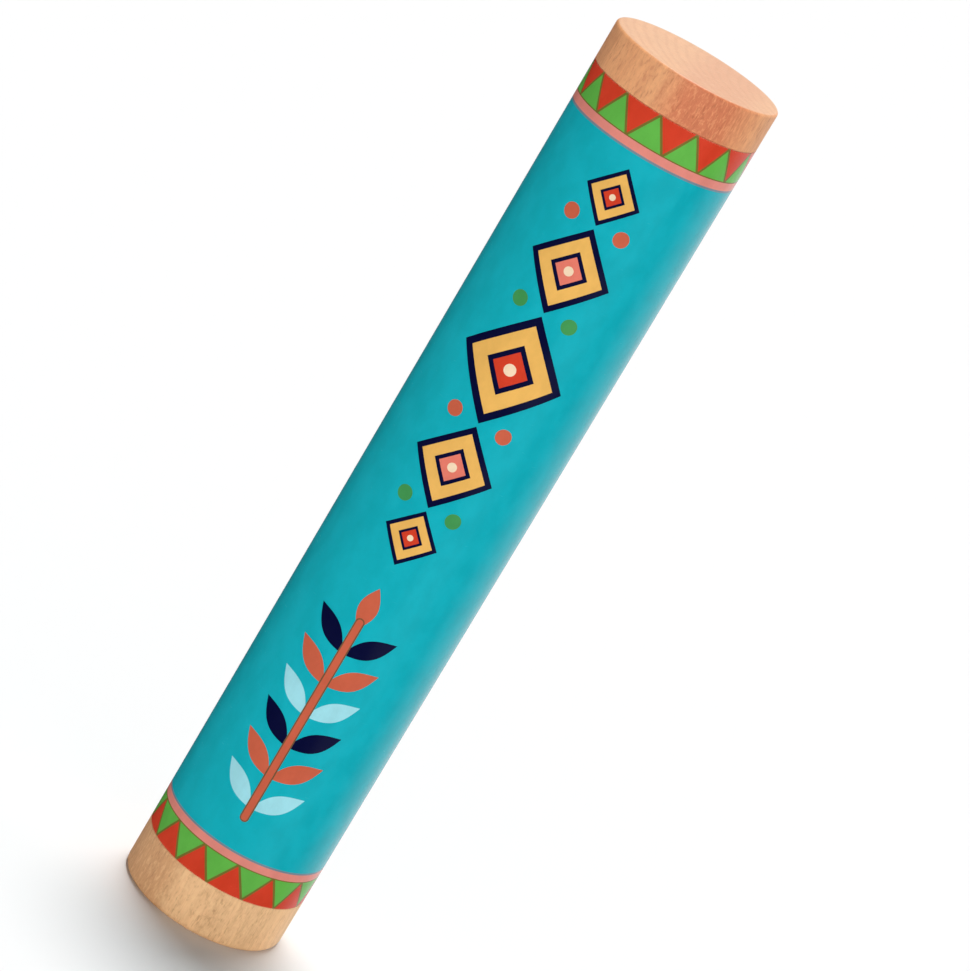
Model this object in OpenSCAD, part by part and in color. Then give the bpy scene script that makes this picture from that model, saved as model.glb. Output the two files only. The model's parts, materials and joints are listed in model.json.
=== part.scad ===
// Rain stick: a board tube in a printed paper wrap, closed by two turned beech plugs.
// Bamboo pins cross the tube as a double spiral stair, and loose steel beads trickle
// down through them when the stick is turned over.
// Millimetres. +Z runs up the stick from the centre of its lower end, and -Y is its front.

/* [Stick] */
// Length over both end plugs
stick_len = 270; // [240:5:400]
// Diameter over the printed wrap, which the end plugs match
stick_d = 48; // [48:1:60]

/* [Tube and wrap] */
// Thickness of the printed paper wrap
wrap_t = 0.3; // [0.2:0.05:0.5]
// Gap where the two edges of the wrap meet
seam_gap = 0.3; // [0.1:0.05:0.6]
// Where that gap is, in degrees round from the front towards +X
seam_angle = -90; // [-180:1:180]
// Wall of the board tube
tube_wall = 2.2; // [1.5:0.1:2.5]

/* [End plugs] */
// Height of the upper plug's head, above the tube
top_head_h = 11.4; // [8:0.2:20]
// Height of the lower plug's head, below the tube
bottom_head_h = 15.2; // [8:0.2:20]
// Length of each plug's spigot, inside the tube
spigot_h = 12; // [8:0.5:16]
// Chamfer on the inner end of each spigot
spigot_chamfer = 1; // [0.5:0.1:2]
// Radius of the rounded outer rim of each head
rim_r = 1.2; // [0.6:0.1:2.5]

/* [Pins] */
// Diameter of a bamboo pin
pin_d = 2; // [1.5:0.1:2.2]
// Height from one pin to the next
pin_rise = 5; // [4.5:0.25:6]
// Height left free of pins at each end of the chamber
end_room = 10; // [8:0.5:14]

/* [Beads] */
// Diameter of a steel bead
bead_d = 4; // [3:0.1:4.2]
// Least gap between two beads, and from a bead to the tube
bead_gap = 0.6; // [0.3:0.1:0.6]

/* [Hidden] */
$fn = 96;
// How far a cutting solid runs past the face that it cuts
cut = 1;
// The layers, from the outside in
outer_r = stick_d / 2;
tube_r = outer_r - wrap_t;
bore_r = tube_r - tube_wall;
// The glue round each spigot and each pin
glue_t = 0.05;
spigot_r = bore_r - glue_t;
// The tube, and the closed chamber that the two spigots leave in it
tube_z0 = bottom_head_h;
tube_z1 = stick_len - top_head_h;
tube_len = tube_z1 - tube_z0;
chamber_z0 = tube_z0 + spigot_h;
chamber_z1 = tube_z1 - spigot_h;
// The stair: each pin crosses the tube, an eighth of a turn round from the one below
pins_per_flight = 4;
pin_turn = 45;
pinned_h = chamber_z1 - chamber_z0 - 2 * end_room;
flights = floor((pinned_h + pin_rise) / (pins_per_flight * pin_rise));
pin_count = flights * pins_per_flight;
first_pin_angle = pin_turn / 2;
first_pin_z = (chamber_z0 + chamber_z1 - (pin_count - 1) * pin_rise) / 2;
// How far the cut ends of a pin lie under the surface of the tube
pin_end_depth = 0.1;
pin_len = 2 * (tube_r - pin_end_depth);
// The beads stand in the eight lanes that the pins leave free, over the whole height
lanes = 360 / pin_turn;
bead_r = bead_d / 2;
bead_rest_gap = 0.05;
bead_z = chamber_z0 + bead_r + bead_rest_gap;
wall_bead_r = bore_r - bead_r - bead_gap;
wall_bead_angle = 10;
// Each bead of a lane: its distance from the axis, and its angle from the lane's middle
bead_spots = [
    [wall_bead_r - 2 * (bead_d + bead_gap), 0],
    [wall_bead_r - (bead_d + bead_gap), 0],
    [wall_bead_r, wall_bead_angle],
    [wall_bead_r, -wall_bead_angle],
];
bead_count = lanes * len(bead_spots);

function two_digits(n) = n < 10 ? str("0", n) : str(n);
FLIGHTS = [for (i = [1:flights]) str("pin_flight_", two_digits(i))];
BEADS = [for (i = [1:bead_count]) str("bead_", two_digits(i))];

// A rod across the tube, where pin number i goes.
module crossing_rod(i, d, length) {
    translate([0, 0, first_pin_z + i * pin_rise])
        rotate([0, 90, first_pin_angle + i * pin_turn])
            cylinder(d = d, h = length, center = true);
}

// The board tube, drilled right through for every pin.
module board_tube() {
    color("tan")
        difference() {
            translate([0, 0, tube_z0])
                cylinder(r = tube_r, h = tube_len);
            translate([0, 0, tube_z0 - cut])
                cylinder(r = bore_r, h = tube_len + 2 * cut);
            for (i = [0:pin_count - 1])
                crossing_rod(i, pin_d + 2 * glue_t, stick_d);
        }
}

// The printed paper glued round the tube, with a butt seam down one side.
module printed_wrap() {
    color("darkturquoise")
        difference() {
            translate([0, 0, tube_z0])
                cylinder(r = outer_r, h = tube_len);
            translate([0, 0, tube_z0 - cut])
                cylinder(r = tube_r, h = tube_len + 2 * cut);
            rotate([0, 0, seam_angle])
                translate([-seam_gap / 2, -outer_r - cut, tube_z0 - cut])
                    cube([seam_gap, outer_r, tube_len + 2 * cut]);
        }
}

// A turned plug standing on its head: head_h of full diameter, and then the spigot.
module plug(head_h) {
    rotate_extrude()
        union() {
            difference() {
                square([outer_r, head_h]);
                translate([outer_r - rim_r, -cut])
                    square([rim_r + cut, rim_r + cut]);
            }
            intersection() {
                translate([outer_r - rim_r, rim_r])
                    circle(r = rim_r);
                translate([outer_r - rim_r, 0])
                    square(rim_r);
            }
            polygon([
                [0, head_h - cut],
                [spigot_r, head_h - cut],
                [spigot_r, head_h + spigot_h - spigot_chamfer],
                [spigot_r - spigot_chamfer, head_h + spigot_h],
                [0, head_h + spigot_h],
            ]);
        }
}

module bottom_plug() {
    color("burlywood") plug(bottom_head_h);
}

module top_plug() {
    color("burlywood")
        translate([0, 0, stick_len])
            mirror([0, 0, 1])
                plug(top_head_h);
}

// One flight of the stair: four crossing pins, which make half a turn.
module pin_flight(f) {
    color("khaki")
        for (i = [0:pins_per_flight - 1])
            crossing_rod(f * pins_per_flight + i, pin_d, pin_len);
}

// One loose bead, at rest on the bottom plug.
module bead(n) {
    spot = bead_spots[n % len(bead_spots)];
    lane = floor(n / len(bead_spots));
    color("silver")
        rotate([0, 0, lane * pin_turn + spot[1]])
            translate([spot[0], 0, bead_z])
                sphere(r = bead_r);
}

board_tube();
printed_wrap();
top_plug();
bottom_plug();
for (f = [0:flights - 1])
    pin_flight(f);
for (n = [0:bead_count - 1])
    bead(n);
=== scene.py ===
import json
import math

import bmesh
import bpy
from mathutils import Matrix, Vector
from mathutils.geometry import delaunay_2d_cdt


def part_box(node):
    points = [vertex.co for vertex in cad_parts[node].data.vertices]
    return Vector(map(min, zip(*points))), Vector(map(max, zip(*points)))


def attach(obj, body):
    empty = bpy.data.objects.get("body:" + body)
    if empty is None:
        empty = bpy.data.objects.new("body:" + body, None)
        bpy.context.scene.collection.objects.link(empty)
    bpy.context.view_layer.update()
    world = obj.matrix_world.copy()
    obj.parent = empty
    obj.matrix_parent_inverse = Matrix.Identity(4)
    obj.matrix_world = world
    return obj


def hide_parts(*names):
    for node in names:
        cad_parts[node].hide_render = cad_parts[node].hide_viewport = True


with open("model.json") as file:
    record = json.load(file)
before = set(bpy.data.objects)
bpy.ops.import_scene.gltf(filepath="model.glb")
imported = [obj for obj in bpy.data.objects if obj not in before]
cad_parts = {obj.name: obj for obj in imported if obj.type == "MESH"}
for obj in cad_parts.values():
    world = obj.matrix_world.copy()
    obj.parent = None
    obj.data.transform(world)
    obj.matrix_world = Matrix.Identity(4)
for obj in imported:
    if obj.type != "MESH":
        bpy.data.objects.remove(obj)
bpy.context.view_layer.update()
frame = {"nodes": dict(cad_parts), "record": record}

# ---------------------------------------------------------------- sizes from the frame
MM = 0.001
mount = {m["name"]: m for m in frame["record"]["mounts"]}
OUTER_R = mount["grip"]["dims"]["r_mm"]
TUBE_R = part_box("board_tube")[1].x / MM
SHEET_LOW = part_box("printed_wrap")[0].z / MM
SHEET_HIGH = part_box("printed_wrap")[1].z / MM
STICK_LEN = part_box("top_plug")[1].z / MM
FILM_T = 0.1
PRINT_R = OUTER_R - FILM_T  # where the white paper ends and the printed film begins
TURN = 2 * math.pi * OUTER_R
SEAM_U = -TURN / 4
SEAM_GAP = 0.3
STICK = "stick"


# ---------------------------------------------------------------- drawing on the flat sheet
# The sheet is drawn in millimetres: u runs round the stick from its front towards +X, and z up it.
layers = []


def paint(ink, outline):
    """Lays a filled outline over what is painted already."""
    layers.append((ink, outline))


def arc(centre, radius, start, end, step=0.5):
    """Points along an arc between two angles in degrees."""
    sweep = math.radians(end - start)
    count = max(8, round(abs(sweep) * radius / step))
    angles = [math.radians(start) + sweep * i / count for i in range(count + 1)]
    return [(centre[0] + radius * math.cos(a), centre[1] + radius * math.sin(a)) for a in angles]


def disc(centre, radius):
    return arc(centre, radius, 0, 360)[:-1]


def leaf(start, end, half_width, step=0.6):
    """A pointed oval between two points."""
    length = math.dist(start, end)
    ahead = ((end[0] - start[0]) / length, (end[1] - start[1]) / length)
    count = round(length / step)
    outline = []
    for side in (1, -1):
        for i in range(count):
            share = i / count if side == 1 else 1 - i / count
            wide = side * half_width * math.sin(math.pi * share)
            outline.append(
                (
                    start[0] + ahead[0] * length * share - ahead[1] * wide,
                    start[1] + ahead[1] * length * share + ahead[0] * wide,
                )
            )
    return outline


def stroke(start, end, width):
    """A straight brush stroke with round ends."""
    heading = math.degrees(math.atan2(end[1] - start[1], end[0] - start[0]))
    tip = arc(end, width / 2, heading - 90, heading + 90, 0.3)
    foot = arc(start, width / 2, heading + 90, heading + 270, 0.3)
    return tip + foot


# The bands at both ends: triangles against the plug, then a pink stripe.
TRIANGLES = 14
TRIANGLE_H = 9.2
LINE_W = 0.66  # the brown line between two triangles
STRIPE_H = 2.3
KEYLINE = 0.6


def triangle(middle, base_z, tip_z, base, base_inset):
    """A triangle whose two slanting sides stand half a line's width in from the full one."""
    rise, run = tip_z - base_z, base / 2
    slant = math.hypot(rise, run)
    side = LINE_W / 2 * slant / abs(rise) + base_inset * run / abs(rise)
    tip = math.copysign(LINE_W / 2 * slant / run, rise)
    foot = base_z + math.copysign(base_inset, rise)
    return [(middle - run + side, foot), (middle + run - side, foot), (middle, tip_z - tip)]


def across(z0, z1):
    """A rectangle right round the sheet."""
    return [(SEAM_U, z0), (SEAM_U + TURN, z0), (SEAM_U + TURN, z1), (SEAM_U, z1)]


def paint_band(edge_z, inward):
    pitch = TURN / TRIANGLES
    foot_z = edge_z + inward * TRIANGLE_H
    stripe_z = foot_z + inward * STRIPE_H
    paint("keyline", across(edge_z, stripe_z + inward * KEYLINE))
    paint("pink", across(foot_z, stripe_z))
    paint("olive", across(edge_z, foot_z))
    for i in range(TRIANGLES):
        middle = SEAM_U + (i + 0.5) * pitch
        paint("green", triangle(middle, foot_z, edge_z, pitch, LINE_W / 2))
    for i in range(TRIANGLES + 1):
        middle = SEAM_U + i * pitch
        paint("red", triangle(middle, edge_z, foot_z, pitch, 0.0))


def trimmed(outline):
    """The outline kept within the sheet's own edges, anticlockwise."""
    low, high = SEAM_U + SEAM_GAP / 2, SEAM_U + TURN - SEAM_GAP / 2
    points = [(min(max(u, low), high), min(max(z, SHEET_LOW), SHEET_HIGH)) for u, z in outline]
    area = sum(a[0] * b[1] - b[0] * a[1] for a, b in zip(points, points[1:] + points[:1]))
    return points if area > 0 else points[::-1]


# The motif: a column of nested lozenges, the largest in the middle, and below it a straight stem
# with even pairs of leaves.
COLUMN_TOP = 242.5
LOZENGE_HALF_W = (8.0, 12.0, 15.5, 12.0, 8.0)
LOZENGE_SLOPE = 1.07  # half its height for each millimetre of half its width
LOZENGE_GAP = 1.0
SPOT_OUT = 7.5  # how far the spots between two lozenges stand from the column's middle
SPOT_R = 2.2
DOT_SHARE = 0.11  # the middle dot's radius, as a share of half the lozenge's width
STEM_LOW, STEM_HIGH = 37.0, 101.0
LOWEST_PAIR = 40.0
TIP_LEAF = (99.0, 112.0)
STEM_W = 1.9
STEM_LINE = 0.38
LEAF_PAIRS = 6
LEAF_PITCH = 10.2
LEAF_REACH, LEAF_RISE = 12.0, 9.0
LEAF_HALF_W = 2.7


def lozenge(middle, half_w):
    half_h = half_w * LOZENGE_SLOPE
    return [(0, middle - half_h), (half_w, middle), (0, middle + half_h), (-half_w, middle)]


def paint_lozenges(put):
    top = COLUMN_TOP
    last = len(LOZENGE_HALF_W) - 1
    for i, half_w in enumerate(LOZENGE_HALF_W):
        middle = top - half_w * LOZENGE_SLOPE
        core = "salmon" if i % 2 else "red"
        for ink, share in (("navy", 1.0), ("yellow", 0.82), ("navy", 0.46), (core, 0.34)):
            paint(ink, put(lozenge(middle, half_w * share)))
        paint("cream", put(disc((0, middle), half_w * DOT_SHARE)))
        top -= 2 * half_w * LOZENGE_SLOPE
        if i < last:
            ink = "leaf_green" if i % 2 else "coral"
            for side in (-1, 1):
                paint(ink, put(disc((side * SPOT_OUT, top), SPOT_R)))
        top -= LOZENGE_GAP


def paint_stem(put):
    for i in range(LEAF_PAIRS):
        z = LOWEST_PAIR + i * LEAF_PITCH
        ink = ("pale", "coral", "navy")[i % 3]
        for side in (-1, 1):
            paint(ink, put(leaf((0, z), (side * LEAF_REACH, z + LEAF_RISE), LEAF_HALF_W)))
    paint("coral", put(leaf((0, TIP_LEAF[0]), (0, TIP_LEAF[1]), LEAF_HALF_W)))
    for ink, proud in (("outline", 2 * STEM_LINE), ("coral", 0)):
        paint(ink, put(stroke((0, STEM_LOW), (0, STEM_HIGH), STEM_W + proud)))


def placed(u, flip):
    """Moves a motif round the stick, mirrored where flip is -1."""

    def put(points):
        return [(u + flip * x, z) for x, z in points]

    return put


def paint_sheet():
    paint("turquoise", across(SHEET_LOW, SHEET_HIGH))
    for put in (placed(0, 1), placed(TURN / 2, -1)):
        paint_lozenges(put)
        paint_stem(put)
    paint_band(SHEET_LOW, 1)
    paint_band(SHEET_HIGH, -1)


# ---------------------------------------------------------------- from flat sheet to stick
COLUMN_DEG = 2.5
ROW_H = 6.0


def cut_sheet():
    """Cuts the whole sheet into triangles that follow every outline and a grid. Returns the
    points and, for each ink, its triangles."""
    points, edges, faces = [], [], []
    for _, outline in layers:
        first = len(points)
        points += [Vector(p) for p in trimmed(outline)]
        faces.append(list(range(first, len(points))))
    u0, u1 = SEAM_U + SEAM_GAP / 2, SEAM_U + TURN - SEAM_GAP / 2
    columns = round((u1 - u0) / (OUTER_R * math.radians(COLUMN_DEG)))
    rows = round((SHEET_HIGH - SHEET_LOW) / ROW_H)
    grid = [
        ((u0 + (u1 - u0) * i / columns, SHEET_LOW), (u0 + (u1 - u0) * i / columns, SHEET_HIGH))
        for i in range(1, columns)
    ] + [
        (
            (u0, SHEET_LOW + (SHEET_HIGH - SHEET_LOW) * i / rows),
            (u1, SHEET_LOW + (SHEET_HIGH - SHEET_LOW) * i / rows),
        )
        for i in range(1, rows)
    ]
    for ends in grid:
        edges.append((len(points), len(points) + 1))
        points += [Vector(p) for p in ends]
    flat, _, cells, _, _, owners = delaunay_2d_cdt(points, edges, faces, 0, 1e-4, True)
    by_ink = {}
    for cell, over in zip(cells, owners):
        if over:
            by_ink.setdefault(layers[max(over)][0], []).append(cell)
    return flat, by_ink


def bend(u, z, radius):
    a = u / OUTER_R
    return Vector((radius * math.sin(a), -radius * math.cos(a), z)) * MM


def outward(u):
    a = u / OUTER_R
    return Vector((math.sin(a), -math.cos(a), 0))


def shell(name, flat, cells, inner_r, outer_r, material):
    """A closed piece of the sheet, bent round the stick: the given triangles between two radii."""
    local = {}
    for cell in cells:
        for i in cell:
            local.setdefault(i, len(local))
    order = list(local)
    count = len(order)
    verts = [bend(*flat[i], outer_r) for i in order] + [bend(*flat[i], inner_r) for i in order]
    outside = [tuple(local[i] for i in cell) for cell in cells]
    sides = {}
    for cell in outside:
        for a, b in zip(cell, cell[1:] + cell[:1]):
            if (b, a) in sides:
                del sides[(b, a)]
            else:
                sides[(a, b)] = True
    inside = [tuple(i + count for i in reversed(cell)) for cell in outside]
    walls = [(b, a, a + count, b + count) for a, b in sides]
    mesh = bpy.data.meshes.new(name)
    mesh.from_pydata(verts, [], outside + inside + walls)
    normals = []
    for face in mesh.polygons:
        for i in face.vertices:
            way = outward(flat[order[i % count]][0])
            if face.index < len(outside):
                normals.append(way)
            elif face.index < len(outside) * 2:
                normals.append(-way)
            else:
                normals.append(face.normal)
    mesh.polygons.foreach_set("use_smooth", [True] * len(mesh.polygons))
    mesh.normals_split_custom_set(normals)
    mesh.materials.append(material)
    piece = bpy.data.objects.new(name, mesh)
    bpy.context.scene.collection.objects.link(piece)
    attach(piece, STICK)
    return piece


# ---------------------------------------------------------------- materials
def srgb(r, g, b):
    """A colour given in 0 to 255, as Blender's linear values."""
    return tuple(((c / 255) ** 2.2) for c in (r, g, b)) + (1.0,)


INKS = {
    "turquoise": srgb(0, 169, 183),
    "navy": srgb(10, 15, 55),
    "yellow": srgb(232, 178, 92),
    "red": srgb(208, 62, 38),
    "pink": srgb(222, 134, 122),
    "salmon": srgb(226, 120, 102),
    "green": srgb(96, 178, 72),
    "olive": srgb(116, 106, 48),
    "keyline": srgb(112, 134, 146),
    "leaf_green": srgb(66, 146, 80),
    "pale": srgb(154, 216, 226),
    "cream": srgb(241, 213, 180),
    "coral": srgb(198, 94, 68),
    "outline": srgb(112, 84, 58),
}


class Surface:
    """A material's node tree. Each call adds a node and returns the socket that it gives."""

    def __init__(self, name):
        self.material = bpy.data.materials.new(name)
        self.material.use_nodes = True
        self.tree = self.material.node_tree
        self.shader = self.tree.nodes["Principled BSDF"]
        spot = self.add("ShaderNodeTexCoord").outputs
        self.place = spot["Object"]
        self.facing_up = self.add("ShaderNodeSeparateXYZ", {0: spot["Normal"]}).outputs[2]
        self.x, self.y, self.z = self.add("ShaderNodeSeparateXYZ", {0: self.place}).outputs

    def add(self, kind, inputs=None, **settings):
        """Adds a node. inputs maps a socket's name or number to a number, a colour or a socket."""
        made = self.tree.nodes.new(kind)
        for key, value in settings.items():
            setattr(made, key, value)
        for key, value in (inputs or {}).items():
            self.feed(made.inputs[key], value)
        return made

    def feed(self, socket, value):
        if isinstance(value, bpy.types.NodeSocket):
            self.tree.links.new(value, socket)
        else:
            socket.default_value = value

    def maths(self, operation, a, b=0.0):
        return self.add("ShaderNodeMath", {0: a, 1: b}, operation=operation).outputs[0]

    def vector(self, x, y, z):
        return self.add("ShaderNodeCombineXYZ", {0: x, 1: y, 2: z}).outputs[0]

    def scaled(self, x, y, z, turn=0.0):
        """The place on the object, stretched so that one unit is x, y and z millimetres."""
        scale = (1 / (x * MM), 1 / (y * MM), 1 / (z * MM))
        return self.add(
            "ShaderNodeMapping",
            {"Vector": self.place, "Rotation": (0, 0, math.radians(turn)), "Scale": scale},
        ).outputs[0]

    def noise(self, place, detail=3.0, roughness=0.5, distortion=0.0):
        inputs = {"Vector": place, "Scale": 1.0, "Detail": detail, "Roughness": roughness}
        return self.add("ShaderNodeTexNoise", {**inputs, "Distortion": distortion}).outputs[0]

    def ramp(self, value, low, high, to_low=0.0, to_high=1.0):
        """value from low to high, smoothed and mapped to another range."""
        return self.add(
            "ShaderNodeMapRange",
            {0: value, 1: low, 2: high, 3: to_low, 4: to_high},
            interpolation_type="SMOOTHSTEP",
        ).outputs[0]

    def mix(self, share, a, b):
        inputs = {0: share, 6: a, 7: b}
        return self.add("ShaderNodeMix", inputs, data_type="RGBA").outputs[2]

    def bump(self, height, depth):
        """A bump whose full height is depth millimetres."""
        inputs = {"Height": height, "Strength": 1.0, "Distance": depth * MM}
        return self.add("ShaderNodeBump", inputs).outputs[0]

    def finish(self, **sockets):
        for key, value in sockets.items():
            self.feed(self.shader.inputs[key.replace("_", " ")], value)
        return self.material


def shade(colour, by):
    """A colour made darker or lighter."""
    return tuple(min(1.0, c * by) for c in colour[:3]) + (1.0,)


WEAR_H = 0.45  # how far the wear reaches in from the ends of the sheet


def ink_material(name, colour):
    """Printed paper under a thin satin film: faint mottle in the ink, hairline scuffs, and a
    little wear towards both ends of the sheet."""
    s = Surface("ink_" + name)
    mottle = s.noise(s.scaled(5, 5, 8), detail=5, roughness=0.6)
    fibre = s.noise(s.scaled(0.35, 0.35, 0.9), detail=3, roughness=0.6)
    scuff = s.noise(s.scaled(3, 3, 0.22, turn=20), detail=2, distortion=0.6)
    scuff = s.ramp(scuff, 0.70, 0.78)
    tone = s.mix(s.ramp(mottle, 0.3, 0.7), shade(colour, 0.94), shade(colour, 1.05))
    tone = s.mix(s.maths("MULTIPLY", s.ramp(fibre, 0.5, 0.75), 0.10), tone, shade(colour, 1.25))
    low = s.ramp(s.z, SHEET_LOW * MM, (SHEET_LOW + WEAR_H) * MM, 1.0, 0.0)
    high = s.ramp(s.z, (SHEET_HIGH - WEAR_H) * MM, SHEET_HIGH * MM)
    edge = s.maths("MULTIPLY", s.maths("ADD", low, high), s.ramp(fibre, 0.42, 0.62))
    tone = s.mix(s.maths("MULTIPLY", edge, 0.15), tone, srgb(236, 210, 180))
    rough = s.maths("ADD", s.ramp(mottle, 0.3, 0.7, 0.19, 0.24), s.maths("MULTIPLY", scuff, 0.10))
    height = s.maths("SUBTRACT", fibre, s.maths("MULTIPLY", scuff, 0.5))
    return s.finish(
        Base_Color=tone,
        Roughness=rough,
        Specular_IOR_Level=0.22,
        Normal=s.bump(height, 0.006),
    )


def paper_material():
    """The bare white paper, seen only at its cut edges and down the seam."""
    s = Surface("wrap_paper")
    fibre = s.noise(s.scaled(0.25, 0.25, 0.7), detail=4, roughness=0.65)
    tone = s.mix(s.ramp(fibre, 0.3, 0.7), srgb(222, 216, 202), srgb(244, 240, 230))
    return s.finish(Base_Color=tone, Roughness=0.85, Normal=s.bump(fibre, 0.01))


PITH = (46.0, 18.0)  # the middle of the tree, well outside the plug
RING_PITCH = 3.1
RAY_W = 0.42  # the width of one ray
RAY_LEN = 4.0


def end_grain_and_sheen(s, tone, rings, reach, bearing):
    """The flat faces: a paler tint, partly paler sanded end grain and partly a painted sheen standing
    in for light on the top face; growth rings, thin pale rays out from the pith, pores.
    """
    face = s.ramp(s.maths("ABSOLUTE", s.facing_up), 0.75, 0.98)
    across_rays = s.maths("MULTIPLY", bearing, PITH[0] / RAY_W)
    rays = s.noise(s.vector(across_rays, s.maths("DIVIDE", reach, RAY_LEN * MM), 0.0), detail=2)
    pores = s.noise(s.scaled(0.28, 0.28, 2), detail=2, roughness=0.6)
    # Painted sheen: this pale tint on both flat faces stands in partly for light falling on the top
    # face, over a paler end grain.
    tone = s.mix(s.maths("MULTIPLY", face, 0.6), tone, srgb(240, 198, 164))
    for pattern, strength, colour in (
        (rings, 0.18, srgb(214, 158, 120)),
        (s.ramp(rays, 0.52, 0.66), 0.22, srgb(250, 218, 188)),
        (s.ramp(pores, 0.56, 0.70), 0.30, srgb(200, 146, 108)),
    ):
        share = s.maths("MULTIPLY", s.maths("MULTIPLY", face, pattern), strength)
        tone = s.mix(share, tone, colour)
    return tone


def beech_material(name, pale, deep, heart):
    """Turned beech, its grain along the stick: drifting tone, growth rings about a pith well
    outside the plug, a deeper heart streak from front to back, fine grain lines, the broad
    flakes of the rays, patches of short dark flecks, and paler end faces, whose pale tint is
    partly paler end grain and partly a painted sheen of light."""
    s = Surface(name)
    drift = s.noise(s.scaled(6, 9, 40), detail=3, roughness=0.55)
    grain = s.noise(s.scaled(0.40, 0.40, 7), detail=4, roughness=0.65)
    pith_x, pith_y = PITH[0] * MM, PITH[1] * MM
    east, north = s.maths("SUBTRACT", s.x, pith_x), s.maths("SUBTRACT", s.y, pith_y)
    reach = s.maths("SQRT", s.maths("ADD", s.maths("POWER", east, 2), s.maths("POWER", north, 2)))
    wander = s.maths("MULTIPLY", drift, 2.6 * MM)
    turns = s.maths("MULTIPLY", s.maths("ADD", reach, wander), 2 * math.pi / (RING_PITCH * MM))
    rings = s.ramp(s.maths("SINE", turns), -0.2, 1.0)
    flake = s.noise(s.scaled(1.3, 0.5, 2.0, turn=12), detail=3, roughness=0.65, distortion=0.3)
    dash = s.noise(s.scaled(0.55, 0.45, 2.3, turn=-20), detail=1.5, roughness=0.6, distortion=0.3)
    patch = s.ramp(s.noise(s.scaled(4, 4, 9), detail=2), 0.40, 0.60, 0.15, 1.0)
    fleck = s.maths("MULTIPLY", s.ramp(dash, 0.56, 0.70), patch)
    sway = s.maths("MULTIPLY", drift, 5 * MM)
    off_heart = s.maths("ADD", s.maths("SUBTRACT", s.x, heart * MM), sway)
    streak = s.ramp(s.maths("ABSOLUTE", off_heart), 5 * MM, 14 * MM, 1.0, 0.0)

    fleck_tone = s.mix(0.45, shade(deep, 0.55), srgb(170, 92, 48))
    tone = s.mix(s.ramp(drift, 0.3, 0.7), pale, shade(pale, 0.86))
    tone = s.mix(s.maths("MULTIPLY", streak, 0.85), tone, deep)
    tone = s.mix(s.maths("MULTIPLY", rings, 0.14), tone, shade(deep, 0.8))
    tone = s.mix(s.maths("MULTIPLY", s.ramp(grain, 0.42, 0.72), 0.22), tone, shade(deep, 0.80))
    tone = s.mix(s.maths("MULTIPLY", s.ramp(flake, 0.50, 0.64), 0.30), tone, shade(pale, 1.14))
    tone = s.mix(s.maths("MULTIPLY", s.ramp(flake, 0.46, 0.34), 0.30), tone, shade(deep, 0.78))
    tone = s.mix(s.maths("MULTIPLY", s.ramp(dash, 0.42, 0.30), 0.22), tone, shade(pale, 1.15))
    tone = s.mix(s.maths("MULTIPLY", fleck, 0.42), tone, fleck_tone)
    bearing = s.maths("ARCTAN2", north, s.maths("SUBTRACT", pith_x, s.x))
    tone = end_grain_and_sheen(s, tone, rings, reach, bearing)
    pores = s.maths("SUBTRACT", s.maths("MULTIPLY", grain, 0.6), s.maths("MULTIPLY", fleck, 0.6))
    return s.finish(
        Base_Color=tone,
        Roughness=s.ramp(grain, 0.3, 0.7, 0.44, 0.56),
        Specular_IOR_Level=0.4,
        Normal=s.bump(pores, 0.016),
    )


def board_material():
    """Grey-brown kraft board, spiral wound, with a dark line where each turn of the strip meets
    the next."""
    s = Surface("kraft_board")
    fibre = s.noise(s.scaled(0.4, 0.4, 1.2, turn=35), detail=5, roughness=0.7)
    blot = s.noise(s.scaled(12, 12, 12), detail=3)
    turn = s.maths("DIVIDE", s.maths("ARCTAN2", s.y, s.x), 2 * math.pi)
    strip = s.maths("FRACT", s.maths("ADD", s.maths("DIVIDE", s.z, 62 * MM), turn))
    join = s.ramp(s.maths("ABSOLUTE", s.maths("SUBTRACT", strip, 0.5)), 0.004, 0.012, 1.0, 0.0)
    tone = s.mix(s.ramp(fibre, 0.3, 0.7), srgb(150, 117, 80), srgb(190, 156, 114))
    tone = s.mix(s.maths("MULTIPLY", s.ramp(blot, 0.45, 0.7), 0.3), tone, srgb(140, 112, 82))
    tone = s.mix(s.maths("MULTIPLY", join, 0.7), tone, srgb(92, 70, 48))
    height = s.maths("SUBTRACT", fibre, s.maths("MULTIPLY", join, 1.5))
    return s.finish(Base_Color=tone, Roughness=0.88, Normal=s.bump(height, 0.05))


def bamboo_material():
    """Split bamboo, whose fibres run along each pin, out from the middle of the tube."""
    s = Surface("bamboo")
    out = s.maths("SQRT", s.maths("ADD", s.maths("POWER", s.x, 2), s.maths("POWER", s.y, 2)))
    along = s.vector(s.maths("DIVIDE", out, 11 * MM), s.maths("DIVIDE", s.z, 0.16 * MM), 0.0)
    fibre = s.noise(along, detail=4, roughness=0.6)
    tint = s.noise(s.scaled(8, 8, 3), detail=2)
    tone = s.mix(s.ramp(fibre, 0.3, 0.7), srgb(190, 150, 92), srgb(226, 196, 138))
    tone = s.mix(s.maths("MULTIPLY", s.ramp(tint, 0.5, 0.75), 0.35), tone, srgb(172, 142, 84))
    rough = s.ramp(fibre, 0.3, 0.7, 0.5, 0.65)
    return s.finish(Base_Color=tone, Roughness=rough, Normal=s.bump(fibre, 0.03))


def steel_material():
    """Tumbled steel beads: bright, with fine scratches and a dull bloom in patches."""
    s = Surface("bead_steel")
    bloom = s.noise(s.scaled(1.6, 1.6, 1.6), detail=4, roughness=0.6)
    scratch = s.noise(s.scaled(0.9, 0.07, 0.9, turn=30), detail=3, distortion=0.4)
    tone = s.mix(s.ramp(bloom, 0.35, 0.7), srgb(196, 198, 202), srgb(150, 148, 146))
    rough = s.maths("ADD", s.ramp(bloom, 0.35, 0.7, 0.16, 0.34), s.maths("MULTIPLY", scratch, 0.08))
    return s.finish(Base_Color=tone, Metallic=1.0, Roughness=rough, Normal=s.bump(scratch, 0.004))


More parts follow.
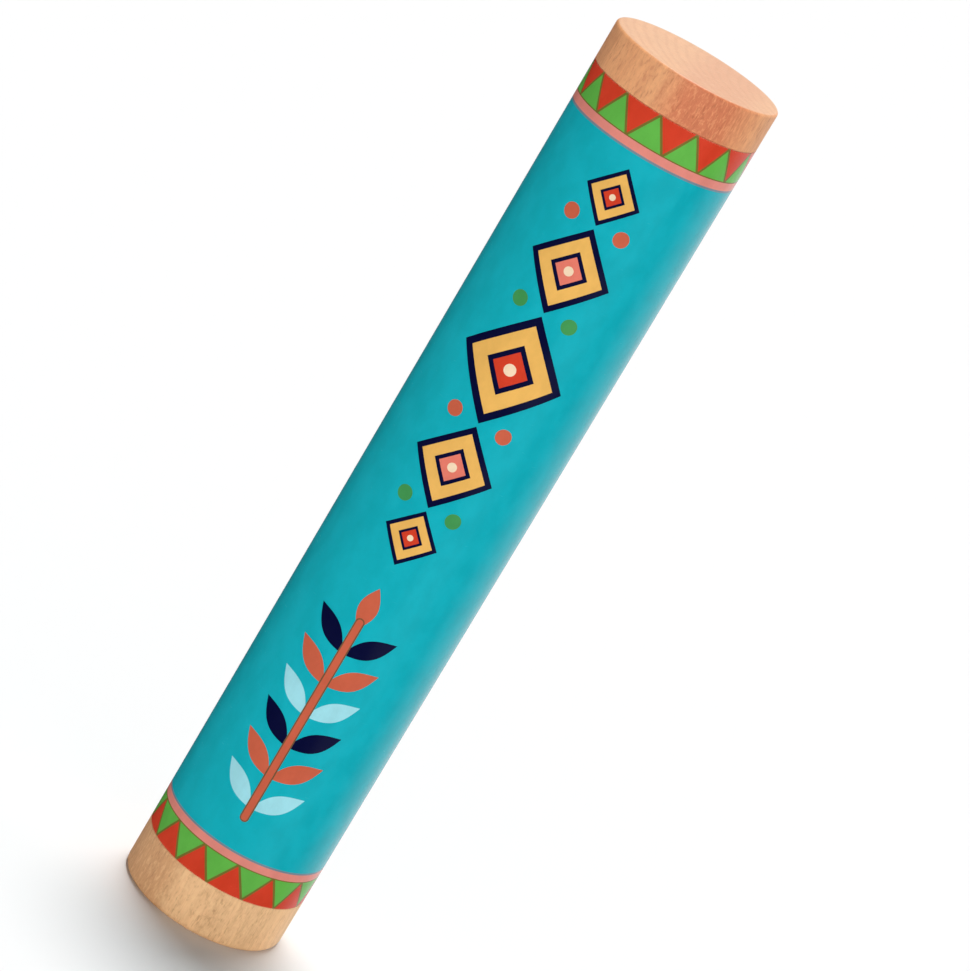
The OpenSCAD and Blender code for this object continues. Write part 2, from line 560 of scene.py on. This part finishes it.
# ---------------------------------------------------------------- pieces
def make_wrap():
    paint_sheet()
    flat, by_ink = cut_sheet()
    every_cell = [cell for cells in by_ink.values() for cell in cells]
    paper = shell("wrap_paper", flat, every_cell, TUBE_R, PRINT_R, paper_material())
    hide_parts("printed_wrap")
    for ink, cells in by_ink.items():
        shell("print_" + ink, flat, cells, PRINT_R, OUTER_R, ink_material(ink, INKS[ink]))


LATHE_STEPS = 192


def lathe(name, profile, material):
    """A closed solid turned about the stick's axis. profile holds radius and height, and both of
    its ends are on the axis."""
    bm = bmesh.new()
    rings = []
    for r, z in profile:
        if r == 0:
            rings.append([bm.verts.new((0, 0, z * MM))])
            continue
        turns = [2 * math.pi * i / LATHE_STEPS for i in range(LATHE_STEPS)]
        places = [(r * MM * math.cos(a), r * MM * math.sin(a), z * MM) for a in turns]
        rings.append([bm.verts.new(place) for place in places])
    for low, high in zip(rings, rings[1:]):
        for i in range(LATHE_STEPS):
            j = (i + 1) % LATHE_STEPS
            below = [low[i % len(low)], low[j % len(low)]]
            above = [high[j % len(high)], high[i % len(high)]]
            bm.faces.new(list(dict.fromkeys(below + above)))
    bmesh.ops.recalc_face_normals(bm, faces=bm.faces)
    mesh = bpy.data.meshes.new(name)
    bm.to_mesh(mesh)
    bm.free()
    mesh.polygons.foreach_set("use_smooth", [True] * len(mesh.polygons))
    mesh.set_sharp_from_angle(angle=math.radians(35))
    mesh.materials.append(material)
    piece = bpy.data.objects.new(name, mesh)
    bpy.context.scene.collection.objects.link(piece)
    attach(piece, STICK)
    return piece


JOINT_BEVEL = 0.25
TUBE_WALL = 2.2
GLUE_GAP = 0.05
SPIGOT_R = TUBE_R - TUBE_WALL - GLUE_GAP
SPIGOT_H = 12.0
SPIGOT_CHAMFER = 1.0
LOW_RIM, HIGH_RIM = 1.7, 0.9


def plug_profile(head_h, rim):
    """A plug that stands on its head: the face, the rounded rim, the side with a small bevel
    where it meets the sleeve, and the spigot."""
    face = [(OUTER_R - rim) * i / 12 for i in range(13)]
    curve = arc((OUTER_R - rim, rim), rim, -90, 0, 0.12)
    side = [(OUTER_R, z) for z in (head_h * 0.35, head_h * 0.7, head_h - JOINT_BEVEL)]
    spigot = [
        (OUTER_R - JOINT_BEVEL, head_h),
        (SPIGOT_R, head_h),
        (SPIGOT_R, head_h + SPIGOT_H - SPIGOT_CHAMFER),
        (SPIGOT_R - SPIGOT_CHAMFER, head_h + SPIGOT_H),
        (0, head_h + SPIGOT_H),
    ]
    return [(r, 0) for r in face] + curve[1:] + side + spigot


def make_plugs():
    low = beech_material("beech_pale", srgb(253, 202, 148), srgb(214, 156, 108), -15)
    high = beech_material("beech_red", srgb(236, 168, 116), srgb(206, 112, 74), 11)
    base = lathe("plug_low", plug_profile(SHEET_LOW, LOW_RIM), low)
    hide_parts("bottom_plug")
    upright = plug_profile(STICK_LEN - SHEET_HIGH, HIGH_RIM)
    turned = [(r, STICK_LEN - z) for r, z in upright]
    cap = lathe("plug_high", turned, high)
    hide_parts("top_plug")


def finish_inside():
    """Materials for the CAD pieces that stay: the board tube, the pins and the beads."""
    board, bamboo, steel = board_material(), bamboo_material(), steel_material()
    for name, node in frame["nodes"].items():
        if name == "board_tube":
            node.data.materials[0] = board
        elif name.startswith("pin_flight"):
            node.data.materials[0] = bamboo
        elif name.startswith("bead"):
            node.data.materials[0] = steel


make_wrap()
make_plugs()
finish_inside()


# ---------------------------------------------------------------- the stage
# The camera as fitted to the photograph: angles in degrees, place in stick radii, focal length in
# pixels of a frame 971 pixels high.
CAMERA_TURN = 4.0
CAMERA_YAW, CAMERA_PITCH, CAMERA_ROLL = 0.449, -16.750, 30.862
CAMERA_PLACE = (0, -43.800, 19.177)
FOCAL_PX, FRAME_PX = 4131.6, 971
SENSOR_MM = 36


def make_camera():
    camera = bpy.data.objects.new("camera", bpy.data.cameras.new("camera"))
    bpy.context.scene.collection.objects.link(camera)
    turn = Matrix.Rotation(math.radians(CAMERA_TURN), 4, "Z")
    yaw, pitch, roll = (math.radians(a) for a in (CAMERA_YAW, CAMERA_PITCH, CAMERA_ROLL))
    level = math.cos(pitch)
    ahead = Vector((math.sin(yaw) * level, math.cos(yaw) * level, math.sin(pitch)))
    right0 = ahead.cross(Vector((0, 0, 1))).normalized()
    up0 = right0.cross(ahead)
    right = right0 * math.cos(roll) + up0 * math.sin(roll)
    up = up0 * math.cos(roll) - right0 * math.sin(roll)
    place = Matrix((right, up, -ahead)).transposed().to_4x4()
    place.translation = Vector(CAMERA_PLACE) * OUTER_R * MM
    camera.matrix_world = turn @ place
    camera.data.sensor_width = SENSOR_MM
    camera.data.lens = FOCAL_PX * SENSOR_MM / FRAME_PX
    camera.data.clip_start, camera.data.clip_end = 0.05, 30
    bpy.context.scene.camera = camera


FLOOR_HALF = 6.0
FLOOR_TONE = 0.85


def make_floor():
    mesh = bpy.data.meshes.new("floor")
    e = FLOOR_HALF
    mesh.from_pydata([(-e, -e, 0), (e, -e, 0), (e, e, 0), (-e, e, 0)], [], [(0, 1, 2, 3)])
    floor = bpy.data.objects.new("floor", mesh)
    bpy.context.scene.collection.objects.link(floor)
    s = Surface("floor")
    mesh.materials.append(s.finish(Base_Color=(FLOOR_TONE, FLOOR_TONE, FLOOR_TONE, 1), Roughness=0.9))
    floor.visible_glossy = False


def towards(turn, rise=0.0):
    """The direction turn degrees round from the front towards +X, and rise degrees up."""
    t, r = math.radians(turn), math.radians(rise)
    return (math.sin(t) * math.cos(r), -math.cos(t) * math.cos(r), math.sin(r))


class Sky:
    """The node tree of the studio's walls, which is worked out from the direction looked in."""

    def __init__(self):
        world = bpy.data.worlds.new("studio")
        bpy.context.scene.world = world
        world.use_nodes = True
        self.nodes, self.links = world.node_tree.nodes, world.node_tree.links
        self.way = self.nodes.new("ShaderNodeTexCoord").outputs["Generated"]

    def facing(self, turn, rise=0.0):
        dot = self.nodes.new("ShaderNodeVectorMath")
        dot.operation = "DOT_PRODUCT"
        dot.inputs[1].default_value = towards(turn, rise)
        self.links.new(self.way, dot.inputs[0])
        return dot.outputs["Value"]

    def mapped(self, value, low, high, to_low, to_high):
        ramp = self.nodes.new("ShaderNodeMapRange")
        ramp.interpolation_type = "SMOOTHSTEP"
        self.links.new(value, ramp.inputs[0])
        for i, number in enumerate((low, high, to_low, to_high)):
            ramp.inputs[i + 1].default_value = number
        return ramp.outputs[0]

    def maths(self, operation, a, b):
        node = self.nodes.new("ShaderNodeMath")
        node.operation = operation
        for socket, value in zip(node.inputs, (a, b)):
            if isinstance(value, bpy.types.NodeSocket):
                self.links.new(value, socket)
            else:
                socket.default_value = value
        return node.outputs[0]


def make_world():
    """A white room: dim at the back left, brighter at the front, with a soft backdrop at the
    back right. Below the horizon only reflections see it, past the floor. The camera sees white."""
    sky = Sky()
    walls = sky.mapped(sky.facing(14), 0.0, 0.95, 0.06, 4.9)
    above = sky.mapped(sky.facing(0, 90), 0.0, 0.1, 0.0, 1.0)
    below_ceiling = sky.mapped(sky.facing(0, 90), 0.12, 0.38, 1.0, 0.04)
    above = sky.maths("MULTIPLY", above, below_ceiling)
    backdrop = sky.mapped(sky.facing(146), 0.50, 0.94, 0.02, 1.0)
    sheen = sky.mapped(sky.facing(47, -16), 0.90, 0.99, 0.0, 0.35)
    room = sky.maths("MULTIPLY", above, walls)
    light = sky.maths("ADD", room, sky.maths("ADD", backdrop, sheen))
    seen = sky.nodes.new("ShaderNodeLightPath").outputs["Is Camera Ray"]
    background = sky.nodes["Background"].inputs
    background["Color"].default_value = (1, 1, 1, 1)
    sky.links.new(sky.maths("MAXIMUM", light, seen), background["Strength"])


SOFTBOX_POWER = 3.0
SOFTBOX_SPREAD = 15.0
SOFTBOX_FROM = (196, 80)


def make_softbox():
    """One broad soft light, high at the back right, wide enough to light the floor evenly."""
    data = bpy.data.lights.new("softbox", "SUN")
    data.energy = SOFTBOX_POWER
    data.angle = math.radians(SOFTBOX_SPREAD)
    light = bpy.data.objects.new("softbox", data)
    bpy.context.scene.collection.objects.link(light)
    light.rotation_euler = Vector(towards(*SOFTBOX_FROM)).to_track_quat("Z", "Y").to_euler()


make_camera()
make_floor()
make_world()
make_softbox()
bpy.context.scene.view_settings.view_transform = "Standard"
